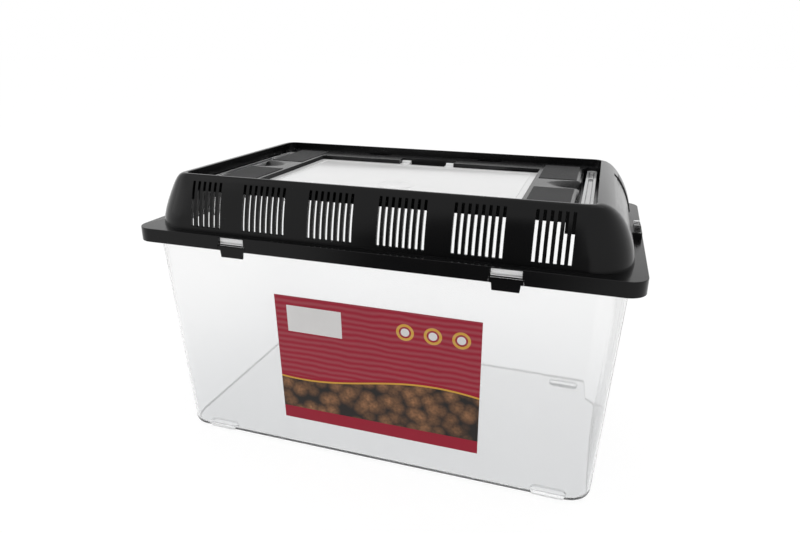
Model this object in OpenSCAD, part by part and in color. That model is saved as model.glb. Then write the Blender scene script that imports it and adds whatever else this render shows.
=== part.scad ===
// Pet keeper: a clear tapered tub under a vented lid with a top hatch, two pull-up
// carry handles that lie in the lid's end channels, and six swing-out latch tabs.
// Millimetres, +Z up, origin on the ground under the middle of the tub.

/* [Tub] */
// Length of the tub at its mouth, outside
mouth_l = 400; // [340:1:460]
// Width of the tub at its mouth, outside
mouth_w = 235; // [200:1:280]
// Height of the tub from under its floor to its mouth
tub_h = 201.8; // [150:0.1:260]
// How far each end wall leans in from mouth to floor
end_draft = 8.6; // [5:0.1:14]
// How far each long wall leans in from mouth to floor
side_draft = 12.9; // [8:0.1:18]
// Thickness of the tub's walls
tub_wall = 2.2; // [1.6:0.1:3]
// Thickness of the tub's floor
floor_t = 2.4; // [1.8:0.1:4]
// Radius of the tub's upright corners at its mouth
mouth_r = 25; // [18:1:32]
// Radius of the tub's upright corners at its floor
floor_r = 20; // [14:1:26]
// Radius of the edge round the tub's floor
floor_edge_r = 5; // [3:0.5:8]
// Height of the feet under the floor
foot_h = 3.5; // [2:0.5:6]
// Length of each foot
foot_l = 30; // [20:1:40]
// Width of each foot
foot_w = 9; // [6:0.5:14]
// Distance of each foot's middle from the end of the floor
foot_end = 34; // [28:1:60]
// Distance of each foot from the long side of the floor
foot_side = 6; // [6:0.5:14]

/* [Rim lip and lugs] */
// Thickness of the lip round the tub's mouth
lip_t = 2.4; // [1.6:0.1:3]
// Width of the ridged lug behind each latch window
lug_w = 22.4; // [18:0.1:28]
// Height of each ridged lug
lug_h = 5.4; // [5:0.1:7.2]
// How far a lug rises above the tub's mouth, into its pocket in the lid
lug_rise = 1.5; // [0.8:0.1:1.7]
// Depth of the part of each lug that rises into its pocket
lug_top_d = 2; // [1.2:0.1:3]
// Radius of the ridges on the lugs
ridge_r = 0.6; // [0.4:0.1:0.6]
// Number of ridges on each lug
ridge_count = 3; // [2:1:4]
// Thickness of the upright tongue at each end of the mouth
tongue_t = 4.8; // [3.5:0.1:5]
// Width of the upright tongue
tongue_w = 23; // [16:0.5:30]
// Height of the upright tongue above the lid's flange
tongue_rise = 9.6; // [8.5:0.1:14]
// Gap round each tongue in its collar
tongue_gap = 0.3; // [0.2:0.05:0.4]
// Height of the collar above the flange
collar_h = 5.6; // [4:0.1:5.8]
// Wall of the collar
collar_wall = 1.2; // [0.8:0.1:1.4]
// How far the collar stands out past each side of the tongue
collar_side = 3.6; // [2:0.1:6]

/* [Lid shell] */
// How far the hood's base stands out past the tub's mouth at each end
hood_over = 1.2; // [0.8:0.1:2]
// How far the hood's base stands in from the tub's mouth along each side
hood_in = 4; // [2:0.1:6]
// Height of the hood from the flange to the top of its rim
hood_h = 45.9; // [40:0.1:60]
// How far the hood's long walls lean in from base to rim
side_lean = 12.9; // [10:0.1:15]
// How far the hood's end walls lean in from base to rim
end_lean = 28.9; // [24:0.1:32]
// Thickness of the hood's walls
hood_wall = 2.4; // [2:0.1:3]
// Radius of the hood's upright corners at its base
hood_r = 32; // [24:1:38]
// Radius of the recess's corners inside the rim
rim_r = 7; // [6.5:0.5:12]
// Width of the rim's flat top
rim_w = 2.2; // [1.6:0.1:3]
// Width of the flange beyond the hood at each end
end_ledge = 8.8; // [8.6:0.1:12]
// Width of the flange beyond the hood along each long side
side_ledge = 9.3; // [8:0.1:12]
// Radius of the flange's corners
flange_r = 15; // [12:1:24]
// Height of the skirt that hangs round the tub's mouth
skirt_h = 12; // [11:0.1:18]
// Thickness of the skirt
skirt_t = 2.4; // [2.2:0.1:3]
// Thickness of the flange
plate_t = 2.4; // [2.2:0.1:3]
// Gap between the flange and the tub's mouth
seat_gap = 0.2; // [0.1:0.05:0.4]
// Gap between the skirt and the tub's lip
lip_gap = 0.5; // [0.3:0.1:0.8]
// Thickness of the wall round the deck recess
recess_wall = 2; // [1.6:0.1:2.4]
// Width of the ledge that carries the deck
deck_ledge = 1.6; // [1.2:0.1:1.8]
// Thickness of that ledge
deck_ledge_t = 2; // [1.6:0.1:3]
// Depth of the shallow panel in each end wall
panel_depth = 1.2; // [0.6:0.1:1.4]
// Width of that panel
panel_w = 112; // [80:1:130]
// Height of that panel's lower edge above the flange
panel_low = 6.2; // [6:0.1:12]
// Distance of that panel's upper edge below the rim
panel_drop = 7.3; // [7:0.1:12]
// Depth of the relief notch at the panel's upper edge
relief_depth = 1.8; // [1.3:0.1:2]
// Width of the relief notch
relief_w = 12; // [8:0.5:16]
// Height of the relief notch above the panel
relief_h = 2.6; // [2:0.1:3]
// Distance of the relief notch's middle behind the lid's middle
relief_y = 50; // [40:0.5:50]

/* [Vents] */
// Distance between the middles of neighbouring slots
vent_pitch = 5.16; // [4.6:0.02:5.3]
// Width of each slot
vent_w = 2.4; // [1.8:0.1:3]
// Gap between the recess wall and the inner end of the vent cuts
vent_start = 0.4; // [0.2:0.1:1]
// Distance between the last slot of a group and the first of the next
vent_gap = 23.3; // [18:0.1:24]
// Slots in each of the middle groups
vent_mid = 8; // [6:1:8]
// Slots in each outer group
vent_end = 6; // [4:1:6]
// Middle groups on each long side
vent_groups = 4; // [2:2:4]
// Height of the slots' lower ends above the flange
vent_low = 3.3; // [3:0.1:10]
// Distance of the slots' upper ends below the rim
vent_drop = 5.2; // [4:0.1:10]

/* [Deck] */
// Depth of the deck below the rim
deck_drop = 6.8; // [5:0.1:9]
// Thickness of the deck
deck_t = 2.5; // [2:0.1:3]
// Height of the deck tray at its ends, from its top to its lower edge
deck_h = 13.8; // [13:0.1:16]
// Height of the deck tray along its long sides
deck_side_h = 5.6; // [5:0.1:8]
// Distance from the lid's middle at which the deeper ends begin
deck_end_x = 150; // [140:1:152]
// Thickness of the tray's side walls
deck_side_t = 2; // [1.6:0.1:2.5]
// Gap all round between the deck and its recess
deck_gap = 0.3; // [0.2:0.05:0.4]
// Height of the grip pads' raised grain above the deck
pad_h = 0.4; // [0.3:0.1:0.6]
// Length of each grip pad along the lid
pad_l = 33; // [24:0.5:34]
// Distance between the front and the rear pad
pad_gap = 40; // [36:1:50]
// Distance of each pad from the hatch opening
pad_in = 3.5; // [3:0.5:6]
// Distance of each pad from the front and rear of the recess
pad_end = 11; // [6:0.5:16]
// Width of the bevel along the channel's inner edge
channel_bevel = 3.2; // [1.5:0.1:3.5]
// Depth of that bevel
channel_bevel_d = 1.6; // [0.8:0.1:2.2]
// Radius of the finger scoop at each end
scoop_r = 25; // [18:0.5:28]
// Depth of the finger scoop where it meets the channel
scoop_depth = 8; // [5:0.5:9]
// Length of the finger scoop
scoop_l = 30; // [24:0.5:32]
// Width of each snap notch in the deck's rear edge
notch_w = 25; // [16:1:32]
// Depth of each snap notch
notch_d = 10; // [6:0.5:12]
// Size of the bevel at each inner corner of a snap notch
notch_bevel = 3; // [1:0.5:5]
// Distance between the two snap notches
notch_spacing = 119; // [110:1:150]

/* [Hatch] */
// Length of the hatch opening
hatch_l = 229; // [180:1:230]
// Distance of the opening's front edge from the lid's middle
hatch_front = 80; // [60:1:84]
// Distance of the opening's rear edge from the lid's middle
hatch_rear = 65; // [50:1:70]
// Thickness of the hatch plate
hatch_t = 2.2; // [1.8:0.1:2.4]
// Depth of the hatch plate's top below the deck
hatch_drop = 3.7; // [3:0.1:4]
// Gap round the hatch plate
hatch_gap = 0.3; // [0.2:0.05:0.5]
// Gap behind the hatch plate, where its rear edge swings up
hatch_back_gap = 1.2; // [1.1:0.1:1.6]
// Width of the ledge under the hatch
hatch_ledge = 3; // [2:0.1:4]
// Thickness of that ledge and of the frame round the opening
hatch_frame_t = 2; // [1.6:0.1:2.5]
// Width over the two hinge ears at the rear of the hatch
tab_w = 56; // [40:1:70]
// Width of each hinge ear
hinge_ear_w = 9; // [6:0.5:12]
// Distance of the hinge axis behind the opening
axis_back = 10; // [8:0.5:11]
// Radius of the rounded end of each hinge ear
barrel_r = 2.3; // [2:0.1:2.4]
// How far the hinge barrels reach below the hatch
barrel_sink = 0.3; // [0.2:0.1:0.5]
// Radius of the hatch's corners
hatch_corner_r = 3; // [1:0.5:5]
// Radius of the outer corners of the hatch's raised border
border_corner_r = 3; // [2:0.5:5]
// Radius of the inner corners of the hatch's raised border
border_inner_r = 2; // [1:0.5:4]
// Radius of the hinge trunnions
trunnion_r = 1.3; // [1.1:0.05:1.5]
// Radial gap round hinge trunnions
pin_gap = 0.05; // [0.03:0.01:0.1]
// Width of the bracket beside each hinge ear
bracket_w = 3; // [2.4:0.1:4]
// Gap beside each hinge ear
bay_side = 0.6; // [0.3:0.1:1]
// Gap behind the hinge ears, where they swing
bay_back = 1.7; // [1.6:0.1:2.4]
// Radius of the finger dish in the hatch
dish_r = 19; // [14:0.5:22]
// Depth of the finger dish
dish_depth = 2; // [1.2:0.1:2.4]
// Distance of the dish's middle in front of the lid's middle
dish_y = 36; // [30:1:50]
// Distance of the raised border line from the hatch's edge
border_in = 6.5; // [4:0.5:10]
// Width of the border line
border_w = 1.2; // [0.8:0.1:2]
// Height of the border line
border_h = 0.5; // [0.3:0.1:0.8]

/* [Handles] */
// Width of each handle bar and of its channel's clear strip
bar_w = 9; // [7:0.1:10]
// Gap between the bar and each side of its channel
bar_gap = 2.75; // [1:0.05:3]
// Height of each handle bar
bar_h = 8.4; // [7:0.1:8.6]
// Depth of the bar's top below the deck
bar_drop = 2.5; // [2:0.1:3]
// Gap between the bar and the channel's floor
bar_rest = 0.2; // [0.1:0.05:0.5]
// Distance from the end of the bar to the recess wall
bar_end = 11.5; // [9:0.5:16]
// Length of the long groove in the bar's top
groove_l = 88; // [60:1:100]
// Width of the long groove
groove_w = 4; // [3:0.1:5]
// Depth of the long groove
groove_d = 1.2; // [0.8:0.1:2]
// Distance between the two legs of a handle
leg_spacing = 124; // [110:1:134]
// Thickness of each leg
leg_t = 6; // [5:0.1:7]
// Width of each leg
leg_w = 10; // [8:0.1:12]
// Gap round each leg in its guide
leg_gap = 0.3; // [0.2:0.05:0.4]
// How far a handle pulls up
handle_travel = 27.5; // [20:0.5:32]
// Height of the guide under the channel's floor
guide_h = 7.5; // [6:0.5:12]
// Wall of the guide
guide_wall = 2; // [1.6:0.1:2.2]
// Height of the stop at the foot of each leg
stop_h = 3; // [2:0.1:4]
// How far the stop stands out past the leg
stop_out = 2.5; // [1.6:0.1:3]
// Play left between the stop and its guide at full travel
stop_play = 0.5; // [0.3:0.1:1]

/* [Latch tabs] */
// Distance between the two latches on a long side
latch_spacing = 227.2; // [180:0.1:260]
// Height of each latch tab
latch_h = 10.2; // [8:0.1:14]
// Width of the tab at its lower edge
latch_low_w = 20.3; // [14:0.1:21.4]
// Step in each side of the tab where it leaves the skirt
latch_step = 1.9; // [0.5:0.1:2]
// Thickness of the tab and of the skirt round its window
latch_t = 1.3; // [1:0.05:1.3]
// Thickness of the ear at each side of the tab
ear_t = 1; // [0.8:0.1:1.4]
// Gap round the tab in the skirt
latch_gap = 0.25; // [0.2:0.05:0.4]
// Radius of the tab's trunnions
latch_pin_r = 0.8; // [0.7:0.05:0.85]
// Length of each of the tab's trunnions
latch_pin_l = 2.4; // [1.6:0.1:4]
// Height of the skirt strip between window and tab
strip_h = 0.9; // [0.7:0.1:1.2]
// Gap past the end of each trunnion in its bore
latch_pin_end = 0.3; // [0.2:0.1:0.6]
// Gap between the lug's ridges and the thinned skirt
lug_gap = 0.3; // [0.2:0.05:0.4]
// Gap round the lug in its window
window_gap = 0.3; // [0.2:0.05:0.4]

/* [Label] */
// Length of the label
label_l = 178.5; // [120:0.5:220]
// Height of the label along the wall
label_h = 124.3; // [80:0.1:150]
// Thickness of the label
label_t = 0.25; // [0.15:0.05:0.4]
// Distance of the label's middle from the middle of the tub
label_x = 8.3; // [-20:0.1:20]
// Height of the label's lower edge above the floor
label_low = 32; // [20:0.5:50]
// Gap between the label and the wall
label_gap = 0.05; // [0.03:0.01:0.1]

/* [Hidden] */
$fn = 48;
// A length by which cutters pass the faces that they cut
over = 1;
// Steps round each upright corner and up each curved wall
corner_steps = 8;
wall_steps = 8;

// Levels
floor_z = foot_h;
mouth_z = floor_z + tub_h;
plate_z = mouth_z + seat_gap;
flange_z = plate_z + plate_t;
skirt_z = flange_z - skirt_h;
rim_z = flange_z + hood_h;
deck_z = rim_z - deck_drop;
tray_z = deck_z - deck_h;
side_tray_z = deck_z - deck_side_h;
channel_z = deck_z - bar_drop - bar_h - bar_rest;
channel_t = 2;

// Half sizes in plan
hood_hx = mouth_l / 2 + hood_over;
hood_hy = mouth_w / 2 - hood_in;
flange_hx = hood_hx + end_ledge;
flange_hy = hood_hy + side_ledge;
recess_hx = hood_hx - end_lean - rim_w;
recess_hy = hood_hy - side_lean - rim_w;
recess_r = rim_r;
lip_hx = flange_hx - skirt_t - lip_gap;
lip_hy = flange_hy - skirt_t - lip_gap;
floor_hx = mouth_l / 2 - end_draft;
floor_hy = mouth_w / 2 - side_draft;

// How the hood's walls curve in: the powers of h and of the rest, for sides and ends
side_curve = [1.4, 1.3];
end_curve = [1.6, 1.8];
// Power by which the corners tighten towards the rim
corner_power = 4;
// Levels of the hood's rings, as shares of its height
levels = [0, 0.15, 0.3, 0.45, 0.6, 0.72, 0.82, 0.9, 0.95, 0.985, 1];
// Share of its height at which the hollow under the rim stops
hollow_top = 0.975;
// Height of the recess wall's top below the rim, inside the shell
recess_top = 2.5;

// Handles
channel_r = bar_w / 2 + bar_gap;
channel_x = recess_hx - channel_r;
bar_hy = recess_hy - bar_end;
bar_top = deck_z - bar_drop;
guide_z = channel_z - channel_t - guide_h;
stop_top = guide_z - handle_travel - stop_play;

// Hatch
hatch_w = hatch_rear + hatch_front;
hatch_top = deck_z - hatch_drop;
hatch_low = hatch_top - hatch_t;
axis_y = hatch_rear + axis_back;
axis_z = hatch_low + barrel_r - barrel_sink;
bay_w = tab_w + 2 * bay_side;
bay_y = axis_y + barrel_r + bay_back;

// Latches
window_w = lug_w + 2 * window_gap;
window_low = mouth_z + lug_rise - lug_h;
window_top = mouth_z + lug_rise + window_gap;
strip_low = window_low - strip_h;
latch_w = window_w + 2 * ear_t + 2 * latch_gap;
latch_axis_in = skirt_t / 2;
latch_axis_z = strip_low - latch_gap - latch_axis_in;
latch_bay_w = latch_w + 2 * latch_gap;
lug_face_in = latch_t + lug_gap + ridge_r;

// One ring of points round a rounded rectangle
function ring(hx, hy, r, z) = [
    for (q = [0:3]) for (k = [0:corner_steps])
        let (a = 90 * q + 90 * k / corner_steps,
             sx = (q == 0 || q == 3) ? 1 : -1,
             sy = (q < 2) ? 1 : -1)
        [sx * (hx - r) + r * cos(a), sy * (hy - r) + r * sin(a), z]];

// A closed body through rings that share one number of points
module loft(rings) {
    n = len(rings[0]);
    m = len(rings);
    polyhedron(
        points = [for (level = rings) for (p = level) p],
        faces = concat(
            [[for (i = [0:n - 1]) i]],
            [for (l = [0:m - 2]) for (i = [0:n - 1])
                let (j = (i + 1) % n)
                [l * n + i, (l + 1) * n + i, (l + 1) * n + j, l * n + j]],
            [[for (i = [n - 1:-1:0]) (m - 1) * n + i]]));
}

module rounded_plate(hx, hy, r, z, t) {
    translate([0, 0, z]) linear_extrude(t) union() {
        square([2 * hx, 2 * (hy - r)], center = true);
        square([2 * (hx - r), 2 * hy], center = true);
        for (sx = [-1, 1]) for (sy = [-1, 1])
            translate([sx * (hx - r), sy * (hy - r)]) circle(r);
    }
}

// A box given by its lower and upper corners
module block(lo, hi) {
    translate(lo) cube(hi - lo);
}

// ---------- Tub ----------

// Half sizes and corner radius of the tub at a height above its floor, in steps
// of the wall's draft; in is a distance inwards from the outer face
function tub_ring(h, in, z) =
    let (s = h / tub_h)
    ring(floor_hx + end_draft * s - in, floor_hy + side_draft * s - in,
         floor_r + (mouth_r - floor_r) * s - in, z);

module tub_shell() {
    edge = [for (a = [0:30:90]) [floor_edge_r * (1 - sin(a)), floor_edge_r * (1 - cos(a))]];
    inner_r = floor_edge_r - tub_wall / 2;
    inner = [for (a = [0:30:90]) [inner_r * (1 - sin(a)), inner_r * (1 - cos(a))]];
    difference() {
        loft(concat(
            [for (e = edge) tub_ring(e[1], e[0], floor_z + e[1])],
            [tub_ring(tub_h, 0, mouth_z)]));
        loft(concat(
            [for (e = inner) tub_ring(floor_t + e[1], tub_wall + e[0], floor_z + floor_t + e[1])],
            [tub_ring(tub_h + over, tub_wall, mouth_z + over)]));
    }
}

module tub_lip() {
    difference() {
        rounded_plate(lip_hx, lip_hy, flange_r - skirt_t - lip_gap, mouth_z - lip_t, lip_t);
        rounded_plate(mouth_l / 2 - tub_wall / 2, mouth_w / 2 - tub_wall / 2,
            mouth_r - tub_wall / 2, mouth_z - lip_t - over, lip_t + 2 * over);
    }
}

// A lug's ridged face looks along -Y, at the skirt's outer face y = 0
module lug(depth) {
    z0 = mouth_z + lug_rise - lug_h;
    z1 = mouth_z + lug_rise;
    block([-lug_w / 2, lug_face_in, z0], [lug_w / 2, depth, mouth_z]);
    block([-lug_w / 2, lug_face_in, z0], [lug_w / 2, lug_face_in + lug_top_d, z1]);
    for (k = [0:ridge_count - 1])
        translate([0, lug_face_in, z0 + (k + 0.5) * lug_h / ridge_count])
            rotate([0, 90, 0]) cylinder(r = ridge_r, h = lug_w, center = true);
}

// Puts a child made for the front skirt at each of the latch places
module at_latch(place) {
    if (place == "front_left") translate([-latch_spacing / 2, -flange_hy, 0]) children();
    if (place == "front_right") translate([latch_spacing / 2, -flange_hy, 0]) children();
    if (place == "rear_left") translate([-latch_spacing / 2, flange_hy, 0]) rotate(180) children();
    if (place == "rear_right") translate([latch_spacing / 2, flange_hy, 0]) rotate(180) children();
    if (place == "end_left") translate([-flange_hx, 0, 0]) rotate(-90) children();
    if (place == "end_right") translate([flange_hx, 0, 0]) rotate(90) children();
}

LONG_PLACES = ["front_left", "front_right", "rear_left", "rear_right"];
END_PLACES = ["end_left", "end_right"];

// The upright tongue stands on the lip beside the hood's end wall
module tongue() {
    x1 = lip_hx;
    x0 = x1 - tongue_t;
    block([x0, -tongue_w / 2, mouth_z - lip_t], [x1, tongue_w / 2, flange_z + tongue_rise]);
    for (y = [-1, 0, 1])
        translate([x0, y * tongue_w / 4, flange_z + tongue_rise])
            rotate([0, 90, 0]) cylinder(r = ridge_r, h = tongue_t);
}

module foot() {
    x1 = floor_hx - foot_end;
    y1 = floor_hy - foot_side;
    translate([x1 - foot_l / 2, y1 - foot_w, 0]) union() {
        translate([foot_w / 2, 0, 0]) cube([foot_l - foot_w, foot_w, floor_z + floor_t / 2]);
        for (x = [foot_w / 2, foot_l - foot_w / 2])
            translate([x, foot_w / 2, 0]) cylinder(d = foot_w, h = floor_z + floor_t / 2);
    }
}

module tub() {
    color([0.93, 0.95, 0.96, 0.45]) {
        tub_shell();
        tub_lip();
        for (p = LONG_PLACES) at_latch(p) lug(flange_hy - mouth_w / 2 + tub_wall / 2);
        for (p = END_PLACES) at_latch(p) lug(flange_hx - mouth_l / 2 + tub_wall / 2);
        for (a = [0, 180]) rotate(a) tongue();
        for (mx = [0, 1]) for (my = [0, 1]) mirror([mx, 0, 0]) mirror([0, my, 0]) foot();
    }
}

// ---------- Label ----------

module label() {
    lean = atan(side_draft / tub_h);
    low = label_low;
    y0 = -(floor_hy + side_draft * low / tub_h) - label_gap;
    color([0.62, 0.07, 0.19])
        translate([label_x, y0, floor_z + low]) rotate([lean, 0, 0])
            translate([-label_l / 2, -label_t, 0]) cube([label_l, label_t, label_h]);
}

// ---------- Lid shell ----------

// Share of the whole lean at a share of the height
function lean(share, c) = 1 - pow(1 - pow(share, c[0]), 1 / c[1]);

// The hood's section at a share of a height, in from its outer face
function hood_ring(share, height, in) = ring(
    hood_hx - in - end_lean * lean(share, end_curve),
    hood_hy - in - side_lean * lean(share, side_curve),
    max(hood_r + (rim_r + rim_w - hood_r) * pow(share, corner_power) - in, rim_r - 1),
    flange_z + share * height);

module hood_outside() {
    loft([for (share = levels) hood_ring(share, hood_h, 0)]);
}

// The hollow stops where the shell meets the recess wall
module hood_inside() {
    loft(concat(
        [ring(hood_hx - hood_wall, hood_hy - hood_wall, hood_r - hood_wall, plate_z - over)],
        [for (share = levels) if (share < hollow_top) hood_ring(share, hood_h - hood_wall, hood_wall)],
        [hood_ring(hollow_top, hood_h - hood_wall, hood_wall)]));
}

module flange() {
    difference() {
        rounded_plate(flange_hx, flange_hy, flange_r, skirt_z, skirt_h);
        rounded_plate(flange_hx - skirt_t, flange_hy - skirt_t, flange_r - skirt_t,
            skirt_z - over, skirt_h - plate_t + over);
    }
}

// All that lies further from the lid's middle than x0
module end_zone(x0) {
    for (mx = [0, 1]) mirror([mx, 0, 0]) block([x0, -mouth_w, 0], [mouth_l, mouth_w, 2 * rim_z]);
}

// The wall round the deck recess with the ledge at its foot
module recess_ring(z) {
    difference() {
        rounded_plate(recess_hx + recess_wall, recess_hy + recess_wall, recess_r + recess_wall,
            z - deck_ledge_t, rim_z - recess_top - z + deck_ledge_t);
        rounded_plate(recess_hx - deck_ledge, recess_hy - deck_ledge, recess_r - deck_ledge,
            z - deck_ledge_t - over, rim_z - recess_top);
    }
}

// X of every slot on a long side, group by group
function group_start(g) = g == 0 ? 0
    : group_start(g - 1) + (group_size(g - 1) - 1) * vent_pitch + vent_gap;
function group_size(g) = (g == 0 || g == vent_groups + 1) ? vent_end : vent_mid;
vent_last = group_start(vent_groups + 1) + (vent_end - 1) * vent_pitch;
vent_x = [for (g = [0:vent_groups + 1]) for (k = [0:group_size(g) - 1])
    group_start(g) + k * vent_pitch - vent_last / 2];

module vent_slots() {
    y0 = recess_hy + recess_wall + vent_start;
    for (x = vent_x) for (side = [0, 1]) mirror([0, side, 0])
        block([x - vent_w / 2, y0, flange_z + vent_low],
              [x + vent_w / 2, hood_hy + over, rim_z - vent_drop]);
}

// What a latch needs cut from the skirt: window, tab bay, thinned back and pin bore
module latch_cut() {
    block([-window_w / 2, -over, window_low], [window_w / 2, skirt_t + over, window_top]);
    block([-window_w / 2, latch_t, skirt_z - over],
          [window_w / 2, lug_face_in + lug_top_d + window_gap, window_top]);
    block([-latch_bay_w / 2, -over, skirt_z - over], [latch_bay_w / 2, skirt_t + over, strip_low]);
    translate([0, latch_axis_in, latch_axis_z]) rotate([0, 90, 0])
        cylinder(r = latch_pin_r + pin_gap, h = latch_w + 2 * latch_pin_l + 2 * latch_pin_end,
            center = true);
}

// The collar guides the tub's upright tongue through the flange
module collar() {
    x1 = lip_hx + tongue_gap + collar_wall;
    y1 = tongue_w / 2 + tongue_gap + collar_side;
    block([hood_hx - hood_wall / 2, -y1, flange_z - plate_t / 2], [x1, y1, flange_z + collar_h]);
}

module collar_slot() {
    block([lip_hx - tongue_t - tongue_gap, -tongue_w / 2 - tongue_gap, plate_z - over],
          [lip_hx + tongue_gap, tongue_w / 2 + tongue_gap, flange_z + collar_h + over]);
}

// A shallow cut that follows the end wall's curve between two shares of its height
module end_cut(depth, y0, y1, share0, share1) {
    steps = [for (k = [0:wall_steps]) share0 + (share1 - share0) * k / wall_steps];
    outline = concat(
        [for (t = steps) [hood_hx - depth - end_lean * lean(t, end_curve), flange_z + hood_h * t]],
        [for (k = [wall_steps:-1:0])
            [hood_hx + over - end_lean * lean(steps[k], end_curve), flange_z + hood_h * steps[k]]]);
    translate([0, y1, 0]) rotate([90, 0, 0]) linear_extrude(y1 - y0) polygon(outline);
}

// The shallow panel in each end wall, with a relief notch at its upper edge
module end_panel() {
    top = 1 - panel_drop / hood_h;
    end_cut(panel_depth, -panel_w / 2, panel_w / 2, panel_low / hood_h, top);
    end_cut(relief_depth, relief_y - relief_w / 2, relief_y + relief_w / 2,
        top - relief_h / hood_h, top + relief_h / hood_h);
}

module hood() {
    color([0.09, 0.09, 0.1]) difference() {
        union() {
            difference() {
                union() {
                    hood_outside();
                    flange();
                    for (a = [0, 180]) rotate(a) collar();
                }
                hood_inside();
            }
            recess_ring(side_tray_z);
            intersection() {
                recess_ring(tray_z);
                end_zone(deck_end_x);
            }
        }
        rounded_plate(recess_hx, recess_hy, recess_r, side_tray_z, deck_side_h + deck_drop + over);
        intersection() {
            rounded_plate(recess_hx, recess_hy, recess_r, tray_z, deck_h);
            end_zone(deck_end_x);
        }
        vent_slots();
        for (p = concat(LONG_PLACES, END_PLACES)) at_latch(p) latch_cut();
        for (a = [0, 180]) rotate(a) collar_slot();
        for (mx = [0, 1]) mirror([mx, 0, 0]) end_panel();
    }
}

// ---------- Deck ----------

// The long round-ended shape of a channel or a bar, in plan
module stadium(hy, r, z, t) {
    translate([0, 0, z]) linear_extrude(t) union() {
        square([2 * r, 2 * (hy - r)], center = true);
        for (s = [-1, 1]) translate([0, s * (hy - r)]) circle(r);
    }
}

// The space of the scoop: a tilted round trough that deepens towards the channel
module scoop_trough(r) {
    tilt = atan(scoop_depth / scoop_l);
    x1 = channel_x - channel_r;
    translate([x1, 0, deck_z - scoop_depth]) rotate([0, 90 + tilt, 0])
        translate([-scoop_r, 0, -2 * scoop_l]) cylinder(r = r, h = 2 * scoop_l + channel_r, $fn = 96);
}

module deck_outline(in, z, t) {
    rounded_plate(recess_hx - deck_gap - in, recess_hy - deck_gap - in, recess_r - deck_gap - in, z, t);
}

// The tray's side walls, down to a height
module deck_side(z) {
    difference() {
        deck_outline(0, z, deck_z - deck_t / 2 - z);
        deck_outline(deck_side_t, z - over, deck_h + over);
    }
}

module hatch_hole(grow, z0, z1) {
    block([-hatch_l / 2 - grow, -hatch_front - grow, z0], [hatch_l / 2 + grow, hatch_rear + grow, z1]);
}

module guide(y) {
    w = leg_t / 2 + leg_gap + guide_wall;
    d = leg_w / 2 + leg_gap + guide_wall;
    block([channel_x - w, y - d, guide_z], [channel_x + w, y + d, channel_z - channel_t / 2]);
}

module pad(y0, y1) {
    x0 = hatch_l / 2 + pad_in;
    block([x0, y0, deck_z - deck_t / 2], [x0 + pad_l, y1, deck_z + pad_h]);
}

module deck_end() {
    // channel with its walls and floor, the guides and the scoop's shell
    intersection() {
        translate([channel_x, 0, 0])
            stadium(bar_hy + bar_gap + deck_side_t, channel_r + deck_side_t, channel_z - channel_t,
                deck_z - channel_z + channel_t);
        deck_outline(0, channel_z - channel_t, deck_h);
    }
    for (s = [-1, 1]) guide(s * leg_spacing / 2);
    intersection() {
        scoop_trough(scoop_r + deck_side_t);
        block([channel_x - channel_r - scoop_l - 2 * deck_side_t, -scoop_r, channel_z - channel_t],
              [channel_x - channel_r, scoop_r, deck_z]);
    }
    pad(pad_gap / 2, recess_hy - pad_end);
    pad(-recess_hy + pad_end, -pad_gap / 2);
}

module deck_end_cut() {
    translate([channel_x, 0, 0]) {
        stadium(bar_hy + bar_gap, channel_r, channel_z, deck_z - channel_z + over);
        for (s = [-1, 1]) block(
            [-leg_t / 2 - leg_gap, s * leg_spacing / 2 - leg_w / 2 - leg_gap, guide_z - over],
            [leg_t / 2 + leg_gap, s * leg_spacing / 2 + leg_w / 2 + leg_gap, channel_z + over]);
    }
    intersection() {
        scoop_trough(scoop_r);
        block([channel_x - channel_r - scoop_l, -scoop_r, channel_z],
              [channel_x, scoop_r, deck_z + over]);
    }
    translate([channel_x - channel_r, 0, deck_z]) rotate([90, 0, 0])
        linear_extrude(2 * (bar_hy + bar_gap - channel_r), center = true)
            polygon([[-channel_bevel, 0], [0, -channel_bevel_d], [over, -channel_bevel_d],
                     [over, over], [-channel_bevel, over]]);
}

// A snap notch: wide at the recess wall and narrower in front
module snap_notch() {
    y1 = recess_hy + over;
    y0 = recess_hy - notch_d;
    translate([0, 0, deck_z - deck_t - over]) linear_extrude(deck_t + 2 * over)
        polygon([[-notch_w / 2, y1], [-notch_w / 2, y0 + notch_bevel], [-notch_w / 2 + notch_bevel, y0],
                 [notch_w / 2 - notch_bevel, y0], [notch_w / 2, y0 + notch_bevel],
                 [notch_w / 2, y1]]);
}

module deck() {
    frame_low = hatch_low - hatch_gap / 3 - hatch_frame_t;
    color([0.1, 0.1, 0.11]) difference() {
        union() {
            deck_outline(0, deck_z - deck_t, deck_t);
            deck_side(side_tray_z);
            intersection() {
                deck_side(tray_z);
                end_zone(deck_end_x + deck_gap);
            }
            hatch_hole(hatch_frame_t, frame_low, deck_z);
            block([-bay_w / 2 - bracket_w, hatch_rear, frame_low],
                  [bay_w / 2 + bracket_w, bay_y + hatch_frame_t, deck_z]);
            for (mx = [0, 1]) mirror([mx, 0, 0]) deck_end();
        }
        hatch_hole(0, hatch_low - hatch_gap / 3, deck_z + over);
        hatch_hole(-hatch_ledge, frame_low - over, deck_z + over);
        block([-bay_w / 2, hatch_rear - over, hatch_low - hatch_gap / 3], [bay_w / 2, bay_y, deck_z + over]);
        for (mx = [0, 1]) mirror([mx, 0, 0])
            block([tab_w / 2 - hinge_ear_w - bay_side, hatch_rear - hatch_ledge - over, frame_low - over],
                  [bay_w / 2, bay_y, deck_z + over]);
        translate([0, axis_y, axis_z]) rotate([0, 90, 0])
            cylinder(r = trunnion_r + pin_gap, h = bay_w + 2 * bracket_w + over, center = true);
        for (mx = [0, 1]) mirror([mx, 0, 0]) deck_end_cut();
        for (s = [-1, 1]) translate([s * notch_spacing / 2, 0, 0]) snap_notch();
    }
}

// ---------- Hatch ----------

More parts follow.
